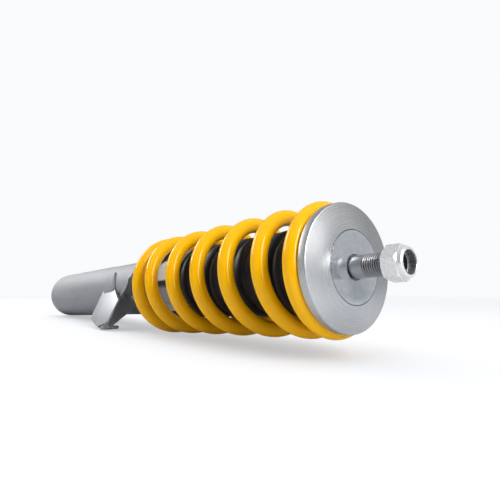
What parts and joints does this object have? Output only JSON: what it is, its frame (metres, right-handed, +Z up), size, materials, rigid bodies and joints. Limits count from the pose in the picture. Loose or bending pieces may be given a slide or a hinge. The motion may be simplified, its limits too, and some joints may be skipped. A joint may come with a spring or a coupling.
{
  "type": "coilover strut",
  "caption": "Suspension strut with a coil spring over an inverted gas damper, a side bracket on its tube and a threaded top stud with a locking nut.",
  "frame": {"origin": "centre of the top mount face, on the strut axis", "axes": "+X along the strut axis towards the top stud and nut, +Z up, with the bracket on the -Y side"},
  "size_m": [0.521, 0.0901, 0.087],
  "materials": {
    "zinc_steel": "satin zinc plate",
    "black_plastic": "matte moulded",
    "black_rubber": "satin moulded rubber",
    "bump_foam": "cellular foam",
    "bush_bronze": "dull lined bronze",
    "hard_chrome": "polished hard chrome",
    "plated_steel": "satin zinc plate",
    "nut_zinc": "bright zinc plate",
    "nylon": "satin moulded",
    "turned_aluminium": "fine turned satin",
    "spring_yellow": "glossy powder coat",
    "dark_steel": "dark satin steel"
  },
  "bodies": {
    "strut": {"strut_tube": "zinc_steel", "lower_spring_seat": "zinc_steel", "link_bracket": "zinc_steel", "spring_collar": "black_plastic", "wiper_seal": "black_rubber", "guide_bush_upper": "bush_bronze", "guide_bush_lower": "bush_bronze", "piston_rod": "hard_chrome", "foot_washer": "plated_steel", "foot_nut": "plated_steel", "bump_stop": "bump_foam", "piston": "turned_aluminium", "piston_band": "nylon", "compression_shims": "plated_steel", "rebound_shims": "plated_steel", "piston_nut": "plated_steel", "main_spring": "spring_yellow"},
    "seat_carrier": {"upper_spring_seat": "turned_aluminium", "bearing_race": "plated_steel", "dust_boot": "black_rubber"},
    "damper": {"damper_body": "hard_chrome", "top_stud": "dark_steel", "seat_insert": "plated_steel", "rod_guide": "turned_aluminium", "rod_seal": "black_rubber", "seal_circlip": "plated_steel"},
    "gas_divider": {"floating_piston": "turned_aluminium", "floating_piston_ring": "black_rubber"},
    "ball_row": {"bearing_cage": "black_plastic", "bearing_balls": "plated_steel"},
    "nut_thread": {"nut_ring": "nylon"},
    "nut": {"top_nut": "nut_zinc"}
  },
  "joints": [
    {"name": "suspension_travel", "type": "slide", "parent": "strut", "child": "seat_carrier", "axis": [-1, 0, 0], "range_m": [0, 0.08], "stiffness_N_per_m": 62000, "deforming": ["main_spring", "dust_boot"]},
    {"name": "steering_turn", "type": "hinge", "parent": "seat_carrier", "child": "damper", "pos_m": [0, 0, 0], "axis": [1, 0, 0], "continuous": true},
    {"name": "ball_row_turn", "type": "hinge", "parent": "seat_carrier", "child": "ball_row", "pos_m": [0, 0, 0], "axis": [1, 0, 0], "continuous": true},
    {"name": "gas_divider_slide", "type": "slide", "parent": "damper", "child": "gas_divider", "axis": [1, 0, 0], "range_m": [0, 0.0083]},
    {"name": "nut_advance", "type": "slide", "parent": "damper", "child": "nut_thread", "axis": [1, 0, 0], "range_m": [-0.0145, 0.008]},
    {"name": "nut_turn", "type": "hinge", "parent": "nut_thread", "child": "nut", "pos_m": [0.0295, 0, 0], "axis": [1, 0, 0], "range_deg": [-3482, 1922]}
  ],
  "couplings": [
    {"joint": "ball_row_turn", "follows": "steering_turn", "ratio": 0.5},
    {"joint": "gas_divider_slide", "follows": "suspension_travel", "ratio": 0.10217},
    {"joint": "nut_turn", "follows": "nut_advance", "rad_per_m": 4188.8}
  ]
}
